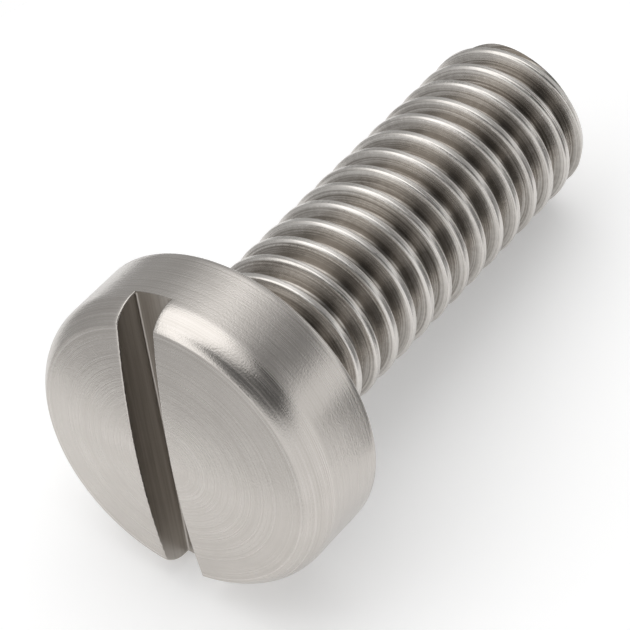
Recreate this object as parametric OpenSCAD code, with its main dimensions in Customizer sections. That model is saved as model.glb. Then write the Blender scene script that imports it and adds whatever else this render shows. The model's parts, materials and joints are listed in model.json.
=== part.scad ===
// Slotted pan head machine screw, one piece of stainless steel, threaded up to its head.
// Millimetres, +Z up. The screw lies on its side as it comes to rest on a table: the rim
// under its head and the last full turns of its thread both touch z = 0. The origin is the
// middle of the footprint, and the thread points along +X.

/* [Head] */
// Diameter of the head
head_d = 10.1; // [9:0.1:12]
// Height of the head, from the bearing face to the middle of the crown
head_h = 3.5; // [3:0.05:4.5]
// Rise of the turned crown above the corner line of the head
crown_rise = 0.2; // [0.1:0.05:0.6]
// Radius of the corner between the crown and the side of the head
corner_r = 1.2; // [0.6:0.05:1.4]
// Edge break round the bearing face
edge_break = 0.13; // [0.05:0.01:0.3]
// How far the fillet under the head stands proud of the thread's crest
neck_margin = 0.04; // [0.02:0.01:0.1]

/* [Slot] */
// Width of the screwdriver slot
slot_w = 1.4; // [1:0.02:2]
// Depth of the slot, from the middle of the crown to its floor
slot_depth = 1.4; // [0.8:0.02:2]
// Turn of the slot about the screw's axis, from the plane that stands upright
slot_turn = 166; // [0:1:180]
// Distance of the slot's middle from the axis, across the slot
slot_offset = -0.4; // [-0.6:0.05:0.6]

/* [Thread] */
// Outside diameter of the thread
thread_d = 5.55; // [4:0.05:8]
// Length from the bearing face to the end of the screw
thread_len = 16; // [8:0.5:40]
// Distance between neighbouring turns
pitch = 1; // [0.8:0.05:1.5]
// Depth of the thread, from its crest to its root
thread_depth = 0.44; // [0.3:0.02:0.6]
// Width of the flat on the crest
crest_w = 0.2; // [0.1:0.02:0.3]
// Length of the chamfer at the end of the thread
end_chamfer_len = 0.65; // [0.4:0.05:1.5]
// Depth of the chamfer at the end of the thread, on the radius
end_chamfer_depth = 0.27; // [0.2:0.01:0.8]
// Where the crest crosses the lowest line of the thread, as a share of a turn
thread_start = 0.81; // [0:0.01:1]

/* [Fineness] */
// Straight steps round one turn of the thread
turn_steps = 36; // [24:4:48]
// Straight steps round the corner of the head
corner_steps = 9; // [6:1:16]

/* [Hidden] */
$fn = 96;

head_r = head_d / 2;
thread_r = thread_d / 2;
root_r = thread_r - thread_depth;
end_r = thread_r - end_chamfer_depth;
// How far the blank of the thread reaches up into the head
root_seat = head_h / 4;
// The fillet under the head runs from outside the crest to just inside the root
neck_r = thread_r + neck_margin;
neck_reach = thread_depth + 2 * neck_margin;
neck_len = pitch * 0.4;
full_len = thread_len - end_chamfer_len;

// The crown is an arc through the corner line and the middle of the head. The corner is an
// arc that touches both the crown and the side.
crown_r = (head_r ^ 2 + crown_rise ^ 2) / (2 * crown_rise);
corner_x = head_r - corner_r;
corner_y = crown_r - head_h - sqrt((crown_r - corner_r) ^ 2 - corner_x ^ 2);
crown_angle = asin(corner_x / (crown_r - corner_r));

// The crest crosses the lowest line once per turn. The screw rests on the last crossing
// before the chamfer and on the rim of its head, so its axis slopes down to the thread.
// The lowest line of the thread is the middle of a straight step, a little inside thread_r.
lowest_r = thread_r * cos(180 / turn_steps);
last_crest = pitch * (floor(full_len / pitch - thread_start) + thread_start);
rest_tilt = atan((head_r - lowest_r) / (last_crest + edge_break));
rest_height = head_r * cos(rest_tilt) - edge_break * sin(rest_tilt);
// The ends of the footprint along X, measured from the middle of the bearing face
tip_x = thread_len * cos(rest_tilt) + end_r * sin(rest_tilt);
crown_x = corner_y * cos(rest_tilt) - corner_x * sin(rest_tilt) - corner_r;

// One turn of the thread as [share of the pitch, share of the depth], from the near edge
// of the crest over both flanks and the rounded root.
crest_half = crest_w / 2 / pitch;
flank = 0.82 * thread_depth * tan(30) / pitch;
turn_profile = [
    [-crest_half, 0],
    [crest_half, 0],
    [crest_half + flank, 0.82],
    [0.5 - (0.5 - crest_half - flank) / 2, 1],
    [0.5 + (0.5 - crest_half - flank) / 2, 1],
    [1 - crest_half - flank, 0.82]
];

// Half profile of the head and the fillet under it, turned about the axis. x is the radius,
// y is 0 at the bearing face and falls towards the crown.
function fillet_arc(steps = 4) = [
    for (i = [0 : steps])
        let (a = 90 * i / steps)
        [neck_r - neck_reach * cos(a), neck_len - neck_len * sin(a)]
];

function corner_arc() = [
    for (i = [0 : corner_steps])
        let (a = -i / corner_steps * (90 - crown_angle))
        [corner_x + corner_r * cos(a), corner_y + corner_r * sin(a)]
];

function crown_arc(steps = 8) = [
    for (i = [1 : steps])
        let (a = crown_angle * (1 - i / steps))
        [crown_r * sin(a), crown_r - head_h - crown_r * cos(a)]
];

function head_profile() = concat(
    [[0, neck_len]],
    fillet_arc(),
    [[head_r - edge_break, 0], [head_r, -edge_break]],
    corner_arc(),
    crown_arc()
);

// The thread is one closed skin. Its points stand on turn_steps columns round the axis, and
// each column repeats the turn profile, moved up by the column's share of the pitch. Past
// either end the points gather on a ring that closes the skin.
rows_per_turn = len(turn_profile);
first_turn = -ceil(root_seat / pitch) - 2;
last_turn = ceil(thread_len / pitch) + 1;
face_rows = (last_turn - first_turn) * rows_per_turn;

// A column's share of a turn. The lowest line lies midway between two columns.
function turn_share(column) = (column + 0.5) / turn_steps;

function row_height(row, column) =
    pitch * (first_turn + floor(row / rows_per_turn) + turn_profile[row % rows_per_turn][0]
        + turn_share(column) + thread_start);

function row_radius(row, height) = min(
    thread_r - thread_depth * turn_profile[row % rows_per_turn][1],
    end_r + (thread_len - height) * end_chamfer_depth / end_chamfer_len
);

// Radius of the end face over a column. The groove runs out through the face.
function end_radius(column) =
    let (turns = thread_len / pitch - turn_share(column) - thread_start)
    let (phase = turns - floor(turns + crest_half))
    let (share = lookup(phase, concat(turn_profile, [[1 - crest_half, 0]])))
    min(end_r, thread_r - thread_depth * share);

function seat_ring() = [
    for (column = [0 : turn_steps - 1])
        let (a = 360 * turn_share(column))
        [root_r * cos(a), root_r * sin(a), -root_seat]
];

function end_ring() = [
    for (column = [0 : turn_steps - 1])
        let (a = 360 * turn_share(column), r = end_radius(column))
        [r * cos(a), r * sin(a), thread_len]
];

function helix_points() = [
    for (row = [0 : face_rows + rows_per_turn], column = [0 : turn_steps - 1])
        let (a = 360 * turn_share(column))
        let (h = max(-root_seat, min(thread_len, row_height(row, column))))
        let (r = row_radius(row, h))
        [r * cos(a), r * sin(a), h]
];

// Number of the point at a row and column. Column turn_steps is column 0 one turn on, and
// points at or past an end stand for the ring there.
function point_at(row, column) =
    column == turn_steps ? point_at(row + rows_per_turn, 0)
    : row_height(row, column) < -root_seat + pitch / 20 ? column
    : row_height(row, column) > thread_len - pitch / 20 ? turn_steps + column
    : 2 * turn_steps + row * turn_steps + column;

function skin_faces() = [
    for (row = [0 : face_rows - 1], column = [0 : turn_steps - 1])
        let (a = point_at(row, column), b = point_at(row, column + 1))
        let (c = point_at(row + 1, column + 1), d = point_at(row + 1, column))
        for (face = [[a, d, c], [a, c, b]])
            if (face[0] != face[1] && face[1] != face[2] && face[2] != face[0]) face
];

function end_faces() = [
    [for (column = [0 : turn_steps - 1]) column],
    [for (column = [turn_steps - 1 : -1 : 0]) turn_steps + column]
];

module thread() {
    polyhedron(
        points = concat(seat_ring(), end_ring(), helix_points()),
        faces = concat(skin_faces(), end_faces()),
        convexity = 10
    );
}

module head() {
    difference() {
        rotate_extrude()
            polygon(head_profile());
        rotate([0, 0, slot_turn])
            translate([-head_d, slot_offset - slot_w / 2, -2 * head_h])
                cube([2 * head_d, slot_w, head_h + slot_depth]);
    }
}

// Lays the screw down: its axis turns from +Z to +X and slopes down by the rest tilt.
module laid_down() {
    translate([-(tip_x + crown_x) / 2, 0, rest_height])
        rotate([0, 90 + rest_tilt, 0])
            children();
}

module screw() {
    color("#bab5b0")
        laid_down()
            union() {
                head();
                thread();
            }
}

screw();
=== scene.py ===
"""Looks of a slotted pan head machine screw in stainless steel, lying as it rests on a table.

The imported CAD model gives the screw's place and axis. The head is built here from patches
that meet at the slot, the thread is built by Geometry Nodes, and both are welded into one
closed piece that stands for the CAD screw. Blender units are metres. Sizes in the classes
are millimetres and are turned to metres once, when a mesh is laid down.
"""

import json
import logging
import math
from collections.abc import Callable
from dataclasses import dataclass, field
from enum import Enum
from typing import Any

import bmesh
import bpy
import numpy as np
from mathutils import Euler, Matrix, Vector

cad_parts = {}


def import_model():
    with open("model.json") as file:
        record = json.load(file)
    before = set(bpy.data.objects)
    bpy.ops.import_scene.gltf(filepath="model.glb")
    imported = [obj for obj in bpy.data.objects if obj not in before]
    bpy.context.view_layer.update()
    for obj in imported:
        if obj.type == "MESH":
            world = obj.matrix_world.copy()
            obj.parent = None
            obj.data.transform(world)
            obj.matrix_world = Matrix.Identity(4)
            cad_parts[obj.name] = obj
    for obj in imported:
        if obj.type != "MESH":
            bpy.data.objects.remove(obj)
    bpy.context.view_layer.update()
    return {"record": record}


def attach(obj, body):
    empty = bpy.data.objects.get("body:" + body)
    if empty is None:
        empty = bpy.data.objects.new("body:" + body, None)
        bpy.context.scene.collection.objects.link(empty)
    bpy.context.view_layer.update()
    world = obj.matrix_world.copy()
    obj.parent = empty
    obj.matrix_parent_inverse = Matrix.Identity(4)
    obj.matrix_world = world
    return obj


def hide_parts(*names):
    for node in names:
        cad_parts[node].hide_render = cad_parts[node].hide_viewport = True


LOG = logging.getLogger("screw")
MM = 0.001
# Points of neighbouring patches that are nearer than this, in mm, are one point.
WELD = 0.0004
# Edges that turn by more than this, in degrees, are shaded sharp.
SHARP_ANGLE = 38.0
# How much finer noise is laid over coarse noise in every pattern.
NOISE_ROUGHNESS = 0.55


class Finish(Enum):
    """The machined surfaces of the screw, in the order of its material slots."""

    TURNED_HEAD = 0
    MILLED_SLOT = 1
    ROLLED_THREAD = 2


def linear(hex_colour: str) -> tuple[float, float, float, float]:
    """Turns an sRGB hex colour to Blender's linear colour.

    Args:
        hex_colour: Six hex digits, with or without a leading hash.

    Returns:
        Red, green, blue and alpha, each from 0 to 1.
    """
    digits = hex_colour.lstrip("#")
    shares = [int(digits[i : i + 2], 16) / 255 for i in (0, 2, 4)]
    return (*(c / 12.92 if c <= 0.04045 else ((c + 0.055) / 1.055) ** 2.4 for c in shares), 1.0)


def add_node(
    tree: bpy.types.NodeTree, kind: str, links: dict[Any, Any] | None = None, **settings: Any
) -> bpy.types.Node:
    """Adds a node to a tree.

    Args:
        tree: The node tree.
        kind: The node's Blender type name.
        links: Input name or number, to a socket that feeds it or a value that it holds.
        **settings: Attributes of the node itself, such as its operation.

    Returns:
        The new node.
    """
    node = tree.nodes.new(kind)
    for name, value in settings.items():
        setattr(node, name, value)
    for key, value in (links or {}).items():
        socket = node.inputs[key]
        if isinstance(value, bpy.types.NodeSocket):
            tree.links.new(value, socket)
        else:
            socket.default_value = value
    return node


def arithmetic(tree: bpy.types.NodeTree) -> Callable[..., bpy.types.NodeSocket]:
    """Makes a function that adds one step of arithmetic to a tree.

    Args:
        tree: The node tree.

    Returns:
        A function of an operation's name and its values or sockets, which returns the result.
    """

    def step(operation: str, *values: Any, clamp: bool = False) -> bpy.types.NodeSocket:
        """Adds one step.

        Args:
            operation: The operation's Blender name.
            *values: The numbers or sockets that it works on.
            clamp: Whether the result is kept between 0 and 1.

        Returns:
            The result.
        """
        links = dict(enumerate(values))
        settings = {"operation": operation, "use_clamp": clamp}
        return add_node(tree, "ShaderNodeMath", links, **settings).outputs[0]

    return step


@dataclass(frozen=True)
class Lie:
    """Where the screw lies: its own frame, with +Z along its axis to the tip."""

    matrix: Matrix
    tilt: float

    @classmethod
    def from_record(cls, record: dict[str, Any]) -> "Lie":
        """Reads the screw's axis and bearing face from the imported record.

        Args:
            record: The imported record, which holds the mounts.

        Returns:
            The screw's own frame in the frame of the part.
        """
        mount = next(m for m in record["mounts"] if m["name"] == "thread")
        axis = Vector(mount["axis"]).normalized()
        bearing = Vector(mount["pos_m"]) - axis * (mount["dims"]["length_mm"] * MM / 2)
        tilt = math.asin(-axis.z)
        turn = Euler((0.0, math.pi / 2 + tilt, 0.0)).to_matrix().to_4x4()
        return cls(Matrix.Translation(bearing) @ turn, tilt)


class Skin:
    """Patches of points and faces, in millimetres, that are welded into one mesh."""

    def __init__(self) -> None:
        """Starts with no points and no faces."""
        self.points: list[np.ndarray] = []
        self.faces: list[tuple[int, ...]] = []
        self.finishes: list[int] = []
        self.count = 0

    def add_points(self, points: np.ndarray) -> int:
        """Adds points.

        Args:
            points: An array whose last axis is x, y and z.

        Returns:
            The number of the first one.
        """
        first = self.count
        flat = np.asarray(points, dtype=float).reshape(-1, 3)
        self.points.append(flat)
        self.count += len(flat)
        return first

    def grid(self, points: np.ndarray, finish: Finish, closed: bool = False) -> None:
        """Adds a patch of four-sided faces.

        Args:
            points: Rows of columns of points.
            finish: The surface that the faces have.
            closed: Whether the last column meets the first.
        """
        rows, columns = points.shape[:2]
        first = self.add_points(points)
        for row in range(rows - 1):
            for column in range(columns if closed else columns - 1):
                beside = (column + 1) % columns
                a, b = first + row * columns + column, first + row * columns + beside
                self.faces.append((a, b, b + columns, a + columns))
                self.finishes.append(finish.value)

    def polygon(self, points: np.ndarray, finish: Finish) -> None:
        """Adds one flat face.

        Args:
            points: Its corners, in order.
            finish: The surface that it has.
        """
        first = self.add_points(points)
        self.faces.append(tuple(range(first, first + len(points))))
        self.finishes.append(finish.value)

    def zip_rings(self, outer: np.ndarray, inner: np.ndarray, finish: Finish) -> None:
        """Joins two rings round the axis that have different numbers of points.

        Args:
            outer: Points of one ring, in order of their angle.
            inner: Points of the other ring, in order of their angle.
            finish: The surface that the faces have.
        """
        rings = [outer, inner]
        angles = []
        for side, ring in enumerate(rings):
            turn = np.mod(np.arctan2(ring[:, 1], ring[:, 0]), 2 * np.pi)
            start = int(np.argmin(turn))
            rings[side] = np.roll(ring, -start, axis=0)
            angles.append(np.append(np.roll(turn, -start), 2 * np.pi + turn[start]))
        first, second = self.add_points(rings[0]), self.add_points(rings[1])
        at = [0, 0]
        sizes = [len(ring) for ring in rings]
        while at[0] < sizes[0] or at[1] < sizes[1]:
            step = 0 if at[1] == sizes[1] else 1
            if at[0] < sizes[0] and at[1] < sizes[1]:
                step = 0 if angles[0][at[0] + 1] < angles[1][at[1] + 1] else 1
            a, b = first + at[0] % sizes[0], second + at[1] % sizes[1]
            at[step] += 1
            moved = (first + at[0] % sizes[0], second + at[1] % sizes[1])[step]
            self.faces.append((a, b, moved))
            self.finishes.append(finish.value)

    def to_mesh(self, name: str, lie: Lie, weld: float) -> bpy.types.Mesh:
        """Welds the patches and lays the mesh down in the frame of the part.

        Args:
            name: Name of the mesh.
            lie: The screw's own frame.
            weld: Points nearer than this, in millimetres, become one.

        Returns:
            The closed mesh, with its faces outwards.
        """
        mesh = bpy.data.meshes.new(name)
        mesh.from_pydata(np.concatenate(self.points).tolist(), [], self.faces)
        mesh.polygons.foreach_set("material_index", self.finishes)
        work = bmesh.new()
        work.from_mesh(mesh)
        bmesh.ops.remove_doubles(work, verts=work.verts, dist=weld)
        bmesh.ops.dissolve_degenerate(work, edges=work.edges, dist=weld / 10)
        bmesh.ops.recalc_face_normals(work, faces=work.faces)
        open_edges = sum(not edge.is_manifold for edge in work.edges)
        work.to_mesh(mesh)
        work.free()
        mesh.transform(lie.matrix @ Matrix.Scale(MM, 4))
        mesh.update()
        LOG.info("%s: %d faces, %d open edges", name, len(mesh.polygons), open_edges)
        return mesh


@dataclass
class PanHead:
    """The turned head with its slot. Its crown faces -Z and its bearing face is at z = 0."""

    diameter: float = 10.1
    height: float = 3.5
    corner_radius: float = 1.2
    corner_height: float = 2.18
    crown_edge_slope: float = 38.0
    edge_break: float = 0.13
    slot_width: float = 1.3
    slot_depth: float = 1.43
    slot_turn: float = 164.8
    slot_offset: float = -0.5
    slot_edge_break: float = 0.05
    slot_fillet: float = 0.07
    raggedness: tuple[float, float] = (0.45, 1.35)
    crown_edge_break: float = 0.035
    corner_gathering: float = 1.15
    neck_radius: float = 3.3
    columns: int = 120
    crown_rows: int = 48
    corner_rows: int = 22
    wall_rows: int = 7
    fillet_rows: int = 4
    floor_columns: int = 8
    break_steps: int = 4
    side_rows: int = 14
    face_rings: int = 5
    radius: float = field(init=False)
    crown_radius: float = field(init=False)
    crown_edge: float = field(init=False)
    corner_x: float = field(init=False)
    corner_z: float = field(init=False)
    floor_z: float = field(init=False)

    def __post_init__(self) -> None:
        """Works out the arcs of the profile from the driving sizes."""
        self.radius = self.diameter / 2
        self.corner_x = self.radius - self.corner_radius
        self.corner_z = -self.corner_height
        slope = math.radians(self.crown_edge_slope)
        self.crown_edge = self.corner_x + self.corner_radius * math.sin(slope)
        rise = self.height + self.corner_z - self.corner_radius * math.cos(slope)
        self.crown_radius = (self.crown_edge**2 + rise**2) / (2 * rise)
        self.floor_z = self.slot_depth - self.height

    def crown_z(self, r: np.ndarray) -> np.ndarray:
        """Height of the crown's arc at a distance r from the axis."""
        return self.crown_radius - self.height - np.sqrt(self.crown_radius**2 - r**2)

    def lobe_rows(self, edge: float) -> np.ndarray:
        """Rows of the profile from the middle of the slot's edge to the slot's floor.

        Args:
            edge: Distance of the lobe's straight edge from the axis.

        Returns:
            For each row its radius, its height and 1 where it lies past the crown.
        """
        reach = math.sqrt(self.crown_edge**2 - edge**2) - self.crown_edge_break
        along = np.linspace(0, reach, self.crown_rows)
        r = np.hypot(along, edge)
        crown = np.stack([r, self.crown_z(r), 0 * r], axis=1)
        first = math.radians(self.crown_edge_slope)
        # The corner's rows stand a little closer by the crown's edge.
        share = np.linspace(0, 1, self.corner_rows + 1) ** self.corner_gathering
        a = first + share * (math.pi / 2 - first) - math.pi / 2
        x = self.corner_x + self.corner_radius * np.cos(a)
        z = self.corner_z + self.corner_radius * np.sin(a)
        corner = np.stack([x, z, np.ones_like(a)], axis=1)
        return np.concatenate([crown, corner, [[self.radius, self.floor_z, 1.0]]])

    def slot_frame(self, along: np.ndarray, across: np.ndarray, z: np.ndarray) -> np.ndarray:
        """Turns places along and across the slot to the screw's own frame.

        Args:
            along: Distances along the slot.
            across: Distances across it from the axis.
            z: Heights.

        Returns:
            The points.
        """
        turn = math.radians(self.slot_turn)
        x = along * math.cos(turn) - across * math.sin(turn)
        y = along * math.sin(turn) + across * math.cos(turn)
        return np.stack(np.broadcast_arrays(x, y, z), axis=-1)

    def edge_points(self, side: int, end: int) -> np.ndarray:
        """Rounds one edge of the slot, over one half of its length.

        Args:
            side: 1 or -1, the side of the slot.
            end: 1 or -1, the half of the slot's length.

        Returns:
            Rows of points from the crown over the round to the wall, in along, across, z.
        """
        wall = side * self.slot_offset + self.slot_width / 2
        edge = wall + self.slot_edge_break
        r, z, past = self.lobe_rows(edge).T
        along = np.sqrt(np.maximum(r**2 - edge**2, 0))
        top = np.stack([along, np.full_like(r, edge), z], axis=-1)
        corner_u = np.sqrt(along**2 + (edge**2 - wall**2) * past)
        corner_r = np.hypot(corner_u, wall)
        corner_height = np.where(past > 0, z, self.crown_z(np.minimum(corner_r, self.radius)))
        sharp = np.stack([corner_u, np.full_like(r, wall), corner_height], axis=-1)
        on_crown = np.arcsin(np.clip(corner_r / self.crown_radius, -1, 1))
        on_corner = np.arccos(np.clip((self.corner_z - z) / self.corner_radius, 0, 1))
        slope = np.where(past > 0, on_corner, on_crown)
        inward = np.stack([-np.sin(slope) * corner_u / corner_r, 0 * r, np.cos(slope)], axis=-1)
        # The saw leaves a slightly ragged edge on the crown.
        ragged = np.random.default_rng(5 + side + 3 * end).uniform(*self.raggedness, len(r))
        ragged = np.where((past > 0) | (along == 0), 1.0, ragged)[:, None]
        low = sharp + self.slot_edge_break * ragged * inward
        # The last row lies in the slot's floor, just short of the side of the head.
        low[-1] = sharp[-1] - [0.9 * self.slot_edge_break, 0, 0]
        middle = top + low - sharp
        steps = np.linspace(0, math.pi / 2, self.break_steps + 1)[None, :, None]
        around = (
            middle[:, None]
            + (top - middle)[:, None] * np.cos(steps)
            + (low - middle)[:, None] * np.sin(steps)
        )
        around[..., 0] *= end
        around[..., 1] *= side
        return around

    def wall_points(self, side: int, end: int) -> np.ndarray:
        """Follows one wall of the slot down to its floor, over one half of its length.

        Args:
            side: 1 or -1, the side of the slot.
            end: 1 or -1, the half of the slot's length.

        Returns:
            Rows of points down the wall and over the fillet at its foot, in along, across, z.
        """
        top = self.edge_points(side, end)[:, -1]
        deep = self.floor_z - top[:, 2:3]
        # The fillet shrinks where the wall runs out at the side of the head.
        fillet = np.minimum(self.slot_fillet, 0.8 * deep)
        share = np.linspace(0, 1, self.wall_rows + 1)
        turn = np.linspace(0, math.pi / 2, self.fillet_rows + 1)[1:]
        height = np.hstack(
            [top[:, 2:3] + (deep - fillet) * share, self.floor_z - fillet * (1 - np.sin(turn))]
        )
        across = top[:, 1:2] - side * np.hstack([0 * fillet * share, fillet * (1 - np.cos(turn))])
        return np.stack(np.broadcast_arrays(top[:, :1], across, height), axis=-1)

    def add_lobe(self, skin: Skin, side: int) -> None:
        """Adds the crown and the corner on one side of the slot, with the slot's wall.

        Args:
            skin: The skin that takes the patches.
            side: 1 or -1, the side of the slot.
        """
        edge = side * self.slot_offset + self.slot_width / 2 + self.slot_edge_break
        r, z, _ = self.lobe_rows(edge).T
        start = np.arcsin(np.clip(edge / r, -1, 1))[:, None]
        angle = start + (math.pi - 2 * start) * np.linspace(0, 1, self.columns + 1)
        across = side * r[:, None] * np.sin(angle)
        lobe = self.slot_frame(r[:, None] * np.cos(angle), across, z[:, None])
        skin.grid(lobe, Finish.TURNED_HEAD)
        for end in (1, -1):
            round_edge = self.edge_points(side, end)
            skin.grid(self.slot_frame(*np.moveaxis(round_edge, -1, 0)), Finish.TURNED_HEAD)
            wall = self.wall_points(side, end)
            skin.grid(self.slot_frame(*np.moveaxis(wall, -1, 0)), Finish.MILLED_SLOT)

    def add_floor(self, skin: Skin) -> None:
        """Adds the slot's floor and its two ends, which reach the side of the head.

        Args:
            skin: The skin that takes the patches.
        """
        share = np.linspace(0, 1, self.floor_columns + 1)
        for end in (1, -1):
            left, right = (self.wall_points(side, end)[:, -1] for side in (1, -1))
            along = left[:, :1] + (right[:, :1] - left[:, :1]) * share
            across = left[:, 1:2] + (right[:, 1:2] - left[:, 1:2]) * share
            skin.grid(self.slot_frame(along, across, self.floor_z), Finish.MILLED_SLOT)
            rim = end * np.sqrt(self.radius**2 - across[-1] ** 2)
            strip_along = np.stack([along[-1], rim])
            strip_across = np.stack([across[-1], across[-1]])
            skin.grid(self.slot_frame(strip_along, strip_across, self.floor_z), Finish.MILLED_SLOT)
            for side, column in ((1, 0), (-1, -1)):
                last = self.edge_points(side, end)[-1]
                tip = [[rim[column], across[-1][column], self.floor_z]]
                corners = np.concatenate([last, tip])
                skin.polygon(self.slot_frame(*corners.T), Finish.MILLED_SLOT)

    def ring_angles(self) -> np.ndarray:
        """Works out where the patches above put their points round the head.

        Returns:
            The points' angles from the slot's direction, at the level of the slot's floor.
        """
        walls = {side: side * self.slot_offset + self.slot_width / 2 for side in (1, -1)}
        edges = {side: walls[side] + self.slot_edge_break for side in (1, -1)}
        first, second = (math.asin(edges[side] / self.radius) for side in (1, -1))
        span = np.linspace(0, 1, self.columns + 1)
        across = np.linspace(walls[1], -walls[-1], self.floor_columns + 1)
        return np.concatenate(
            [
                first + (math.pi - 2 * first) * span,
                math.pi - np.arcsin(across / self.radius),
                math.pi + second + (math.pi - 2 * second) * span,
                2 * math.pi + np.arcsin(across[::-1] / self.radius),
            ]
        )

    def add_body(self, skin: Skin) -> np.ndarray:
        """Adds the side of the head, its lower edge and the outer part of the bearing face.

        Args:
            skin: The skin that takes the patch.

        Returns:
            The ring of points at which the bearing face goes on.
        """
        b = self.edge_break
        levels = np.linspace(self.floor_z, -b, self.side_rows, endpoint=False)
        side = [(self.radius, z) for z in levels]
        # The edge break is a chamfer with its two edges rounded off.
        turned = [
            (self.radius, -b),
            (self.radius - 0.1 * b, -0.78 * b),
            (self.radius - 0.78 * b, -0.1 * b),
        ]
        rings = np.linspace(self.radius - b, self.neck_radius, self.face_rings)
        profile = np.array(side + turned + [(r, 0.0) for r in rings])
        angle = self.ring_angles()
        along = profile[:, :1] * np.cos(angle)
        across = profile[:, :1] * np.sin(angle)
        points = self.slot_frame(along, across, profile[:, 1:])
        skin.grid(points, Finish.TURNED_HEAD, closed=True)
        return points[-1]

    def add_to(self, skin: Skin) -> np.ndarray:
        """Adds the whole head.

        Args:
            skin: The skin that takes the patches.

        Returns:
            The ring of points at which the bearing face goes on.
        """
        for side in (1, -1):
            self.add_lobe(skin, side)
        self.add_floor(skin)
        return self.add_body(skin)


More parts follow.
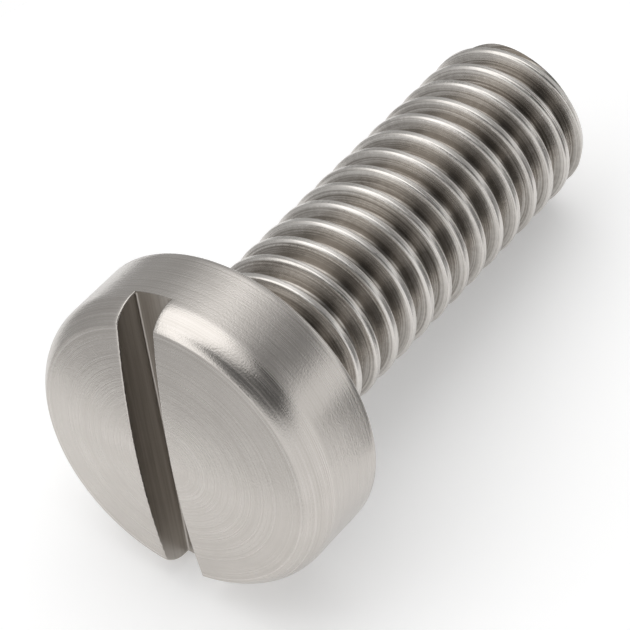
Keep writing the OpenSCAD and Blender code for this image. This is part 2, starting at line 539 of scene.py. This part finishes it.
@dataclass
class RolledThread:
    """The right-hand thread, from the bearing face to the chamfered end, by Geometry Nodes.

    The grid is wound on for lead_in turns past either end. There its rows are level for
    end_margin, and then they gather in the end's middle and spread over the bearing face.
    """

    diameter: float = 5.55
    length: float = 16.0
    pitch: float = 1.0
    depth: float = 0.52
    crest_width: float = 0.2
    start: float = 0.81
    flank_angle: float = 26.0
    crest_rounding: float = 0.03
    root_rounding: float = 0.16
    chamfer_length: float = 0.65
    chamfer_depth: float = 0.27
    neck_length: float = 0.4
    neck_margin: float = 0.04
    neck_radius: float = 3.0
    chamfer_rounding: float = 0.05
    end_margin: float = 0.1
    lead_in: int = 3
    row_gathering: float = 0.5
    closing_distance: float = 1e-4
    columns: int = 160
    rows_per_turn: int = 22

    def tree(self, material: bpy.types.Material) -> bpy.types.GeometryNodeTree:
        """Builds the node tree that winds a grid into the thread.

        Args:
            material: The finish of the thread.

        Returns:
            The tree, with one named input for each size.
        """
        tree = bpy.data.node_groups.new("rolled_thread", "GeometryNodeTree")
        face = tree.interface
        for name in self.inputs():
            whole_number = name in ("Columns", "Rows", "Rows per turn")
            kind = "NodeSocketInt" if whole_number else "NodeSocketFloat"
            face.new_socket(name, in_out="INPUT", socket_type=kind)
        face.new_socket("Geometry", in_out="OUTPUT", socket_type="NodeSocketGeometry")
        size = add_node(tree, "NodeGroupInput").outputs

        math_node = arithmetic(tree)
        counts = {"Vertices X": size["Columns"], "Vertices Y": size["Rows"]}
        grid = add_node(tree, "GeometryNodeMeshGrid", counts | {"Size X": 1.0, "Size Y": 1.0})
        index = add_node(tree, "GeometryNodeInputIndex").outputs[0]
        column = math_node("FLOOR", math_node("DIVIDE", index, size["Rows"]))
        row = math_node("MODULO", index, size["Rows"])
        last_column = math_node("SUBTRACT", size["Columns"], 1.0)
        turn = math_node("DIVIDE", column, last_column)
        whole = math_node("DIVIDE", row, size["Rows per turn"])
        # The rows stand closer together on the crest than in the root.
        sway = math_node("SINE", math_node("MULTIPLY", whole, 2 * math.pi))
        pull = self.row_gathering / (2 * math.pi)
        gathered = math_node("SUBTRACT", whole, math_node("MULTIPLY", sway, pull))
        lead = math_node("ADD", math_node("ADD", gathered, turn), size["Start"])
        wound_on = math_node("SUBTRACT", lead, float(self.lead_in))
        height = math_node("MULTIPLY", wound_on, size["Pitch"])
        level = math_node("MINIMUM", math_node("MAXIMUM", height, 0.0), size["Length"])

        turns_on = math_node("ADD", turn, size["Start"])
        # The profile: from the crest's flat down a flank into the rounded root.
        phase = math_node("SUBTRACT", math_node("DIVIDE", level, size["Pitch"]), turns_on)
        off = math_node("ABSOLUTE", math_node("SUBTRACT", phase, math_node("ROUND", phase)))
        half_crest = math_node("MULTIPLY", size["Crest width"], 0.5)
        from_crest = math_node("SUBTRACT", math_node("MULTIPLY", off, size["Pitch"]), half_crest)
        steepness = math_node("TANGENT", math_node("RADIANS", size["Flank angle"]))
        flank = math_node("DIVIDE", from_crest, steepness)
        below = math_node("SMOOTH_MAX", flank, 0.0, size["Crest rounding"])
        cut = math_node("SMOOTH_MIN", below, size["Depth"], size["Root rounding"])
        crest_radius = math_node("MULTIPLY", size["Diameter"], 0.5)
        radius = math_node("SUBTRACT", crest_radius, cut)

        to_end = math_node("SUBTRACT", size["Length"], level)
        slope = math_node("DIVIDE", size["Chamfer depth"], size["Chamfer length"])
        end_radius = math_node("SUBTRACT", crest_radius, size["Chamfer depth"])
        cone = math_node("ADD", end_radius, math_node("MULTIPLY", to_end, slope))
        radius = math_node("SMOOTH_MIN", radius, cone, self.chamfer_rounding)

        # The fillet under the head is a quarter of an ellipse.
        down_neck = math_node("DIVIDE", level, size["Neck length"], clamp=True)
        to_neck_end = math_node("SUBTRACT", 1.0, down_neck)
        fall = math_node("SQRT", math_node("SUBTRACT", 1.0, math_node("POWER", to_neck_end, 2.0)))
        neck = math_node("ADD", crest_radius, size["Neck margin"])
        reach = math_node("ADD", size["Depth"], math_node("MULTIPLY", size["Neck margin"], 2.0))
        neck_radius = math_node("SUBTRACT", neck, math_node("MULTIPLY", reach, fall))
        radius = math_node("MAXIMUM", radius, neck_radius)

        # Past the end the rows gather in its middle, and past the neck they spread.
        over = math_node("SUBTRACT", math_node("SUBTRACT", height, size["Length"]), self.end_margin)
        inward = math_node("DIVIDE", math_node("MAXIMUM", over, 0.0), size["Pitch"])
        left_over = math_node("SUBTRACT", 1.0, math_node("MINIMUM", inward, 1.0))
        radius = math_node("MULTIPLY", radius, left_over)
        under = math_node("SUBTRACT", math_node("MULTIPLY", height, -1.0), self.end_margin)
        past_neck = math_node("DIVIDE", math_node("MAXIMUM", under, 0.0), size["Pitch"])
        outward = math_node("MINIMUM", past_neck, 1.0)
        spread = math_node("MULTIPLY", math_node("SUBTRACT", size["Neck radius"], radius), outward)
        radius = math_node("ADD", radius, spread)

        angle = math_node("MULTIPLY", turn, 2 * math.pi)
        around = {
            "X": math_node("MULTIPLY", radius, math_node("COSINE", angle)),
            "Y": math_node("MULTIPLY", radius, math_node("SINE", angle)),
            "Z": level,
        }
        place = add_node(tree, "ShaderNodeCombineXYZ", around).outputs[0]
        sheet = {"Geometry": grid.outputs["Mesh"], "Position": place}
        wound = add_node(tree, "GeometryNodeSetPosition", sheet).outputs[0]
        closed = {"Geometry": wound, "Distance": self.closing_distance}
        merged = add_node(tree, "GeometryNodeMergeByDistance", closed).outputs[0]
        real = add_node(tree, "GeometryNodeRealizeInstances", {"Geometry": merged}).outputs[0]
        dressing = {"Geometry": real, "Material": material}
        dressed = add_node(tree, "GeometryNodeSetMaterial", dressing).outputs[0]
        add_node(tree, "NodeGroupOutput", {"Geometry": dressed})
        return tree

    def inputs(self) -> dict[str, float | int]:
        """Lists the tree's inputs.

        Returns:
            Each input's value by its name, in millimetres, degrees or whole numbers.
        """
        turns = math.ceil(self.length / self.pitch) + 2 * self.lead_in
        return {
            "Diameter": self.diameter,
            "Length": self.length,
            "Pitch": self.pitch,
            "Depth": self.depth,
            "Crest width": self.crest_width,
            "Start": self.start,
            "Flank angle": self.flank_angle,
            "Crest rounding": self.crest_rounding,
            "Root rounding": self.root_rounding,
            "Chamfer length": self.chamfer_length,
            "Chamfer depth": self.chamfer_depth,
            "Neck length": self.neck_length,
            "Neck margin": self.neck_margin,
            "Neck radius": self.neck_radius,
            "Columns": self.columns + 1,
            "Rows": turns * self.rows_per_turn + 1,
            "Rows per turn": self.rows_per_turn,
        }

    def add_to(self, skin: Skin, material: bpy.types.Material) -> np.ndarray:
        """Winds the thread and adds it to the skin.

        Args:
            skin: The skin that takes the thread.
            material: The finish of the thread.

        Returns:
            The ring at which the thread's patch meets the bearing face.
        """
        tree = self.tree(material)
        carrier = bpy.data.objects.new("thread_blank", bpy.data.meshes.new("thread_blank"))
        bpy.context.scene.collection.objects.link(carrier)
        winder = carrier.modifiers.new("thread", "NODES")
        winder.node_group = tree
        items = tree.interface.items_tree
        sockets = {item.name: item.identifier for item in items if item.in_out == "INPUT"}
        for name, value in self.inputs().items():
            winder[sockets[name]] = value
        shape = carrier.evaluated_get(bpy.context.evaluated_depsgraph_get())
        mesh = bpy.data.meshes.new_from_object(shape)
        carrier.modifiers.remove(winder)
        bpy.data.objects.remove(carrier)
        points = np.empty(len(mesh.vertices) * 3)
        mesh.vertices.foreach_get("co", points)
        points = points.reshape(-1, 3)
        first = skin.add_points(points)
        # The end face is cut off, not rolled, so it has the turned finish.
        end = self.length - self.closing_distance
        for polygon in mesh.polygons:
            corners = list(polygon.vertices)
            cut_off = points[corners, 2].min() > end
            skin.faces.append(tuple(first + v for v in corners))
            skin.finishes.append((Finish.TURNED_HEAD if cut_off else Finish.ROLLED_THREAD).value)
        turn = np.linspace(0, 2 * math.pi, self.columns, endpoint=False)
        ring = [self.neck_radius * np.cos(turn), self.neck_radius * np.sin(turn), 0 * turn]
        bpy.data.meshes.remove(mesh)
        return np.stack(ring, axis=-1)


@dataclass(frozen=True)
class Steel:
    """Stainless steel with the marks that one way of machining leaves.

    The colour and the higher roughness are where the marks are 1, and the shade and the lower
    roughness where they are 0. The grain is a spacing, and it and the heights are in mm.
    """

    name: str
    colour: str
    shade: str
    roughness: tuple[float, float]
    anisotropy: float
    grain: float
    grain_height: float
    line_height: float = 0.0016

    def places(self, tree: bpy.types.NodeTree, lie: Lie) -> bpy.types.NodeSocket:
        """Gives each point's place in the screw's own frame, in millimetres.

        Args:
            tree: The material's node tree.
            lie: The screw's own frame.

        Returns:
            The place, with +Z along the axis to the tip.
        """
        origin = add_node(tree, "ShaderNodeTexCoord").outputs["Object"]
        laid = {
            "Vector": origin,
            "Location": lie.matrix.translation,
            "Rotation": (0.0, math.pi / 2 + lie.tilt, 0.0),
            "Scale": (MM, MM, MM),
        }
        return add_node(tree, "ShaderNodeMapping", laid, vector_type="TEXTURE").outputs[0]

    def marks(self, tree: bpy.types.NodeTree, place: bpy.types.NodeSocket) -> bpy.types.NodeSocket:
        """Draws the tool's marks. Each way of machining has its own.

        Args:
            tree: The material's node tree.
            place: The place in the screw's own frame, in millimetres.

        Returns:
            The marks, as a value from 0 to 1.
        """
        raise NotImplementedError

    def tangent(self, tree: bpy.types.NodeTree, place: bpy.types.NodeSocket) -> bpy.types.NodeSocket:
        """Gives the direction that the marks run in, here round the screw's axis.

        Args:
            tree: The material's node tree.
            place: The place in the screw's own frame.

        Returns:
            The direction, as a unit vector in that frame.
        """
        flat = {0: place, 1: (0.0, 0.0, 1.0)}
        turned = add_node(tree, "ShaderNodeVectorMath", flat, operation="CROSS_PRODUCT")
        unit = {0: turned.outputs[0]}
        return add_node(tree, "ShaderNodeVectorMath", unit, operation="NORMALIZE").outputs[0]

    def noise(
        self, tree: bpy.types.NodeTree, place: Any, spacing: float, detail: float = 2.0
    ) -> bpy.types.NodeSocket:
        """Draws a soft random pattern.

        Args:
            tree: The material's node tree.
            place: Where the pattern is read, in millimetres.
            spacing: Millimetres from one light spot to the next.
            detail: Number of finer patterns laid over the first.

        Returns:
            The pattern, round 0.5.
        """
        drawn = {"Vector": place, "Scale": 1 / spacing, "Detail": detail}
        drawn["Roughness"] = NOISE_ROUGHNESS
        return add_node(tree, "ShaderNodeTexNoise", drawn).outputs["Fac"]

    def material(self, lie: Lie) -> bpy.types.Material:
        """Makes the material.

        Args:
            lie: The screw's own frame, in which the marks are drawn.

        Returns:
            The material.
        """
        made = bpy.data.materials.new(self.name)
        made.use_nodes = True
        tree = made.node_tree
        tree.nodes.clear()
        math_node = arithmetic(tree)
        place = self.places(tree, lie)
        marks = self.marks(tree, place)
        grain = self.noise(tree, place, self.grain, 1.0)
        # Inputs 6 and 7 are the node's two colours, where the marks are 0 and 1.
        tone = {0: marks, 6: linear(self.shade), 7: linear(self.colour)}
        colour = add_node(tree, "ShaderNodeMix", tone, data_type="RGBA").outputs[2]
        low, high = self.roughness
        rough = math_node("ADD", math_node("MULTIPLY", marks, high - low), low)
        # The marks stand a micrometre or two high, and the grain that tumbling leaves lies
        # over them. Together they break the reflections into fine sparkle.
        lines = math_node("MULTIPLY", marks, self.line_height * MM)
        pits = math_node("MULTIPLY", grain, self.grain_height * MM)
        raised = {"Height": math_node("ADD", lines, pits), "Distance": 1.0, "Strength": 1.0}
        bump = add_node(tree, "ShaderNodeBump", raised).outputs[0]
        steel = {
            "Base Color": colour,
            "Metallic": 1.0,
            "Roughness": rough,
            # A quarter turn is meant to draw the reflections out across the marks. But the
            # tangent is given in the screw's own frame and the shader reads it in the part's,
            # so in most places they are drawn out in another direction.
            "Anisotropic": self.anisotropy,
            "Anisotropic Rotation": 0.25,
            "Normal": bump,
            "Tangent": self.tangent(tree, place),
        }
        shader = add_node(tree, "ShaderNodeBsdfPrincipled", steel)
        add_node(tree, "ShaderNodeOutputMaterial", {"Surface": shader.outputs[0]})
        return made


@dataclass(frozen=True)
class TurnedSteel(Steel):
    """Turned on a lathe: fine rings round the axis, on the crown and on the side."""

    # The lathe's feed marks are about 0.05 mm apart, and the finest that the picture shows.
    ring_spacing: float = 0.046
    ring_contrast: float = 1.9
    patch_spacing: float = 1.1
    patch_wear: float = 1.6
    patch_tone: float = 0.5

    def marks(self, tree: bpy.types.NodeTree, place: bpy.types.NodeSocket) -> bpy.types.NodeSocket:
        """Draws rings by noise on the radius and the height alone, fainter in patches.

        Args:
            tree: The material's node tree.
            place: The place in the screw's own frame, in millimetres.

        Returns:
            The rings, as a value from 0 to 1.
        """
        math_node = arithmetic(tree)
        split = add_node(tree, "ShaderNodeSeparateXYZ", {0: place}).outputs
        squares = [math_node("MULTIPLY", split[axis], split[axis]) for axis in ("X", "Y")]
        radius = math_node("SQRT", math_node("ADD", *squares))
        profile = add_node(tree, "ShaderNodeCombineXYZ", {"X": radius, "Y": split["Z"]}).outputs[0]
        rings = math_node("SUBTRACT", self.noise(tree, profile, self.ring_spacing, 3.0), 0.5)
        patches = math_node("SUBTRACT", self.noise(tree, place, self.patch_spacing), 0.5)
        wear = math_node("MULTIPLY", patches, self.patch_wear)
        worn = math_node("MULTIPLY", rings, math_node("ADD", self.ring_contrast, wear))
        mixed = math_node("ADD", worn, math_node("MULTIPLY", patches, self.patch_tone))
        return math_node("ADD", mixed, 0.5, clamp=True)


@dataclass(frozen=True)
class MilledSteel(Steel):
    """Cut by a slotting saw: long streaks along the slot."""

    slot_turn: float = 164.8
    # The saw's teeth leave streaks 0.09 mm apart, forty times as long as they are wide.
    streak_spacing: float = 0.09
    streak_stretch: float = 40.0
    streak_contrast: float = 1.3

    def marks(self, tree: bpy.types.NodeTree, place: bpy.types.NodeSocket) -> bpy.types.NodeSocket:
        """Draws long streaks by noise that is stretched along the slot.

        Args:
            tree: The material's node tree.
            place: The place in the screw's own frame, in millimetres.

        Returns:
            The streaks, as a value from 0 to 1.
        """
        math_node = arithmetic(tree)
        turned = {"Vector": place, "Rotation": (0.0, 0.0, math.radians(self.slot_turn))}
        along = add_node(tree, "ShaderNodeMapping", turned, vector_type="TEXTURE").outputs[0]
        stretched = {"Vector": along, "Scale": (1 / self.streak_stretch, 1.0, 1.0)}
        streaks = add_node(tree, "ShaderNodeMapping", stretched).outputs[0]
        drawn = math_node("SUBTRACT", self.noise(tree, streaks, self.streak_spacing, 3.0), 0.5)
        return math_node("ADD", math_node("MULTIPLY", drawn, self.streak_contrast), 0.5, clamp=True)

    def tangent(self, tree: bpy.types.NodeTree, place: bpy.types.NodeSocket) -> bpy.types.NodeSocket:
        """Gives the direction that the saw ran in, along the slot.

        Args:
            tree: The material's node tree.
            place: The place in the screw's own frame, which the direction doesn't depend on.

        Returns:
            The direction, as a unit vector in that frame.
        """
        turn = math.radians(self.slot_turn)
        line = {"X": math.cos(turn), "Y": math.sin(turn), "Z": 0.0}
        return add_node(tree, "ShaderNodeCombineXYZ", line).outputs[0]


@dataclass(frozen=True)
class RolledSteel(Steel):
    """Rolled between dies: streaked along the thread, with painted shade that darkens it from the
    crests into the root.
    """

    diameter: float = 5.55
    pitch: float = 1.0
    start: float = 0.81
    depth: float = 0.52
    # The dies' own grinding marks are 0.05 mm apart. They run along the thread.
    streak_spacing: float = 0.055
    streak_wander: float = 0.03
    streak_contrast: float = 2.2
    speckle_spacing: float = 0.16
    speckle_contrast: float = 0.5
    painted_shade_falloff: float = 1.5

    def marks(self, tree: bpy.types.NodeTree, place: bpy.types.NodeSocket) -> bpy.types.NodeSocket:
        """Draws 1 on the crests and 0 in the root, which paints shade into the root, with streaks
        that follow the helix.

        Args:
            tree: The material's node tree.
            place: The place in the screw's own frame, in millimetres.

        Returns:
            The marks, as a value from 0 to 1.
        """
        math_node = arithmetic(tree)
        split = add_node(tree, "ShaderNodeSeparateXYZ", {0: place}).outputs
        squares = [math_node("MULTIPLY", split[axis], split[axis]) for axis in ("X", "Y")]
        radius = math_node("SQRT", math_node("ADD", *squares))
        turn = math_node("DIVIDE", math_node("ARCTAN2", split["Y"], split["X"]), 2 * math.pi)
        wound = math_node("SUBTRACT", math_node("DIVIDE", split["Z"], self.pitch), turn)
        phase = math_node("WRAP", math_node("SUBTRACT", wound, self.start), -0.5, 0.5)
        # The streaks are read across the thread in millimetres and change slowly along it.
        across = {
            "X": math_node("MULTIPLY", phase, self.pitch),
            "Y": radius,
            "Z": math_node("MULTIPLY", split["Z"], self.streak_wander),
        }
        wandering = add_node(tree, "ShaderNodeCombineXYZ", across).outputs[0]
        streaks = math_node("SUBTRACT", self.noise(tree, wandering, self.streak_spacing), 0.5)
        speckle = math_node("SUBTRACT", self.noise(tree, place, self.speckle_spacing, 3.0), 0.5)
        # Painted shade: the steel's colour darkens from the crest's height down into the root.
        root = self.diameter / 2 - self.depth
        height = math_node("DIVIDE", math_node("SUBTRACT", radius, root), self.depth, clamp=True)
        lines = math_node("MULTIPLY", streaks, self.streak_contrast)
        lined = math_node("ADD", lines, math_node("MULTIPLY", speckle, self.speckle_contrast))
        return math_node("ADD", math_node("POWER", height, self.painted_shade_falloff), lined, clamp=True)


def towards(azimuth: float, elevation: float) -> Vector:
    """Unit vector at an angle from +X round the vertical, and an angle above the horizon.

    Args:
        azimuth: Degrees from +X towards +Y.
        elevation: Degrees above the horizon.

    Returns:
        The unit vector.
    """
    turn, rise = math.radians(azimuth), math.radians(elevation)
    level = math.cos(rise)
    return Vector((math.cos(turn) * level, math.sin(turn) * level, math.sin(rise)))


@dataclass(frozen=True)
class Softbox:
    """A soft lamp, given by where it is seen from the screw and how wide it looks, in degrees."""

    name: str
    azimuth: float
    elevation: float
    half_width: float
    half_height: float
    brightness: float

    def place(self, distance: float) -> None:
        """Hangs the lamp at a distance in metres, facing the screw.

        Args:
            distance: From the screw to the lamp.
        """
        data = bpy.data.lights.new(self.name, "AREA")
        data.shape = "ELLIPSE"
        data.size = 2 * distance * math.tan(math.radians(self.half_width))
        data.size_y = 2 * distance * math.tan(math.radians(self.half_height))
        data.energy = self.brightness * math.pi * math.pi / 4 * data.size * data.size_y
        lamp = bpy.data.objects.new(self.name, data)
        side = towards(self.azimuth, self.elevation)
        lamp.location = side * distance
        lamp.rotation_euler = side.to_track_quat("Z", "Y").to_euler()
        bpy.context.scene.collection.objects.link(lamp)


@dataclass(frozen=True)
class Flag:
    """A soft-edged darker part of the white room, in degrees round the screw."""

    azimuth: float
    elevation: float
    half_width: float
    half_height: float
    softness: float
    brightness: float


@dataclass(frozen=True)
class Studio:
    """The board, the lamps, the room that the steel reflects, and the camera. Sizes in mm."""

    aim: Vector = Vector((-1.332, 0.401, 3.332))
    azimuth: float = 34.21
    look_down: float = 52.67
    distance: float = 111.3
    lens: float = 207.98
    floor_radius: float = 18.5
    floor_sides: int = 96
    floor_colour: str = "#f4f4f4"
    floor_lift: float = 0.25
    card_reach: tuple[float, float] = (-1.0, 18.0)
    card_y: float = -12.0
    card_height: float = 9.0
    card_colour: str = "#a0a0a0"
    lamp_distance: float = 0.5
    softboxes: tuple[Softbox, ...] = (
        Softbox("overhead_softbox", 77.0, 66.0, 36.0, 27.0, 0.75),
        Softbox("left_softbox", 151.0, 40.0, 22.0, 10.0, 0.9),
    )
    flags: tuple[Flag, ...] = (
        # A long arc at the camera's height, all along the camera's side of the screw.
        Flag(-112.0, 50.0, 92.0, 19.0, 0.4, 0.1),
        # Past the head, high up.
        Flag(178.0, 59.0, 24.0, 11.0, 0.5, 0.2),
        # Just under the camera.
        Flag(-145.0, 37.0, 32.0, 11.0, 0.5, 0.12),
        # Past the end of the thread, to the right.
        Flag(-25.0, 34.0, 36.0, 11.0, 0.6, 0.3),
        # Under the horizon, on the screw's far side.
        Flag(72.0, -12.0, 100.0, 42.0, 0.6, 0.45),
    )

    def camera(self) -> None:
        """Places the camera at the photograph's viewing angle."""
        ahead = towards(self.azimuth, -self.look_down)
        data = bpy.data.cameras.new("camera")
        data.lens = self.lens
        data.sensor_width = 36.0
        data.clip_start, data.clip_end = 0.01, 10.0
        camera = bpy.data.objects.new("camera", data)
        camera.location = (self.aim - ahead * self.distance) * MM
        camera.rotation_euler = ahead.to_track_quat("-Z", "Y").to_euler()
        bpy.context.scene.collection.objects.link(camera)
        bpy.context.scene.camera = camera

    def floor(self) -> None:
        """Lays a round white board under the screw, just wider than the camera sees."""
        turn = np.linspace(0, 2 * math.pi, self.floor_sides, endpoint=False)
        rim = np.stack([np.cos(turn), np.sin(turn), 0 * turn], axis=1) * self.floor_radius * MM
        mesh = bpy.data.meshes.new("floor")
        mesh.from_pydata(rim.tolist(), [], [tuple(range(len(rim)))])
        material = bpy.data.materials.new("matt_white_board")
        material.use_nodes = True
        tree = material.node_tree
        tree.nodes.clear()
        board = add_node(tree, "ShaderNodeBsdfDiffuse", {"Color": linear(self.floor_colour)})
        ray = add_node(tree, "ShaderNodeLightPath").outputs
        math_node = arithmetic(tree)
        seen = math_node("MAXIMUM", ray["Is Camera Ray"], ray["Is Glossy Ray"])
        lift = math_node("MULTIPLY", seen, self.floor_lift)
        glow = add_node(tree, "ShaderNodeEmission", {"Color": linear("#ffffff"), "Strength": lift})
        both = add_node(tree, "ShaderNodeAddShader", {0: board.outputs[0], 1: glow.outputs[0]})
        add_node(tree, "ShaderNodeOutputMaterial", {"Surface": both.outputs[0]})
        mesh.materials.append(material)
        floor = bpy.data.objects.new("floor", mesh)
        bpy.context.scene.collection.objects.link(floor)

    def card(self) -> None:
        """Stands a grey card beside the thread, just outside the picture.

        The steel shows it as the dark streaks that draw the flanks of the thread. Only
        reflections see it, so it hides the screw from no side and leaves no shade on the board.
        """
        (x0, x1), y, height = self.card_reach, self.card_y, self.card_height
        corners = [(x0, y, 0), (x1, y, 0), (x1, y, height), (x0, y, height)]
        mesh = bpy.data.meshes.new("grey_card")
        mesh.from_pydata([tuple(c * MM for c in corner) for corner in corners], [], [(0, 1, 2, 3)])
        material = bpy.data.materials.new("matt_grey_card")
        material.use_nodes = True
        tree = material.node_tree
        tree.nodes.clear()
        grey = add_node(tree, "ShaderNodeBsdfDiffuse", {"Color": linear(self.card_colour)})
        add_node(tree, "ShaderNodeOutputMaterial", {"Surface": grey.outputs[0]})
        mesh.materials.append(material)
        card = bpy.data.objects.new("grey_card", mesh)
        card.visible_camera = card.visible_diffuse = card.visible_shadow = False
        bpy.context.scene.collection.objects.link(card)

    def lights(self) -> None:
        """Hangs the softboxes in a white room. The camera sees the room without its flags."""
        for softbox in self.softboxes:
            softbox.place(self.lamp_distance)
        world = bpy.data.worlds.new("studio")
        bpy.context.scene.world = world
        world.use_nodes = True
        tree = world.node_tree
        tree.nodes.clear()

        math_node = arithmetic(tree)
        ray = add_node(tree, "ShaderNodeTexCoord").outputs["Generated"]
        split = add_node(tree, "ShaderNodeSeparateXYZ", {0: ray}).outputs
        turn = math_node("DEGREES", math_node("ARCTAN2", split["Y"], split["X"]))
        rise = math_node("DEGREES", math_node("ARCSINE", split["Z"]))
        strength: Any = 1.0
        for flag in self.flags:
            aside = math_node("WRAP", math_node("SUBTRACT", turn, flag.azimuth), -180.0, 180.0)
            sideways = math_node("DIVIDE", math_node("ABSOLUTE", aside), flag.half_width)
            across = math_node("POWER", sideways, 2.0)
            off = math_node("ABSOLUTE", math_node("SUBTRACT", rise, flag.elevation))
            upward = math_node("POWER", math_node("DIVIDE", off, flag.half_height), 2.0)
            apart = math_node("SQRT", math_node("ADD", across, upward))
            within = math_node("SUBTRACT", 1.0 + flag.softness / 2, apart)
            cover = math_node("DIVIDE", within, flag.softness, clamp=True)
            loss = math_node("MULTIPLY", cover, math_node("SUBTRACT", strength, flag.brightness))
            strength = math_node("SUBTRACT", strength, math_node("MAXIMUM", loss, 0.0))
        seen = add_node(tree, "ShaderNodeLightPath").outputs["Is Camera Ray"]
        strength = math_node("MAXIMUM", strength, seen)
        white = {"Color": linear("#ffffff"), "Strength": strength}
        room = add_node(tree, "ShaderNodeBackground", white)
        add_node(tree, "ShaderNodeOutputWorld", {"Surface": room.outputs[0]})


def build_screw(lie: Lie) -> bpy.types.Object:
    """Builds the screw as one closed piece in place of the CAD screw.

    Args:
        lie: The screw's own frame.

    Returns:
        The finished object.
    """
    finishes = {
        # Lathe-turned and lightly tumbled: a satin grey whose fine rings catch the light.
        Finish.TURNED_HEAD: TurnedSteel(
            "turned_stainless_steel",
            colour="#d1ccc7",
            shade="#b8b3ad",
            roughness=(0.17, 0.33),
            anisotropy=0.35,
            grain=0.05,
            grain_height=0.0042,
            line_height=0.0011,
        ),
        # Sawn: darker, browner and duller than the head, with darker streaks along the slot.
        Finish.MILLED_SLOT: MilledSteel(
            "milled_stainless_steel",
            colour="#c2bdb7",
            shade="#98928b",
            roughness=(0.3, 0.42),
            anisotropy=0.4,
            grain=0.06,
            grain_height=0.0024,
        ),
        # Thread-rolled under oil: bright crests, and painted shade that turns the steel grey-brown
        # down in the root.
        Finish.ROLLED_THREAD: RolledSteel(
            "rolled_stainless_steel",
            colour="#d8d4cf",
            # This darker colour is the painted shade in the root of the thread.
            shade="#8f8982",
            roughness=(0.2, 0.28),
            anisotropy=0.3,
            grain=0.06,
            grain_height=0.001,
        ),
    }
    materials = {finish: steel.material(lie) for finish, steel in finishes.items()}
    skin = Skin()
    head_ring = PanHead().add_to(skin)
    thread_ring = RolledThread().add_to(skin, materials[Finish.ROLLED_THREAD])
    skin.zip_rings(head_ring, thread_ring, Finish.TURNED_HEAD)
    mesh = skin.to_mesh("machine_screw", lie, WELD)
    for finish in Finish:
        mesh.materials.append(materials[finish])
    mesh.shade_smooth()
    mesh.set_sharp_from_angle(angle=math.radians(SHARP_ANGLE))
    screw = bpy.data.objects.new("machine_screw", mesh)
    bpy.context.scene.collection.objects.link(screw)
    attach(screw, "root")
    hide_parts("screw")
    return screw


def main() -> None:
    """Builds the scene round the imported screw."""
    logging.basicConfig(level=logging.INFO, format="%(name)s: %(message)s")
    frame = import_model()
    lie = Lie.from_record(frame["record"])
    studio = Studio()
    studio.camera()
    studio.floor()
    studio.card()
    studio.lights()
    screw = build_screw(lie)
    LOG.info("%s is in place", screw.name)
    bpy.context.scene.view_settings.view_transform = "Standard"


if __name__ == "__main__":
    main()
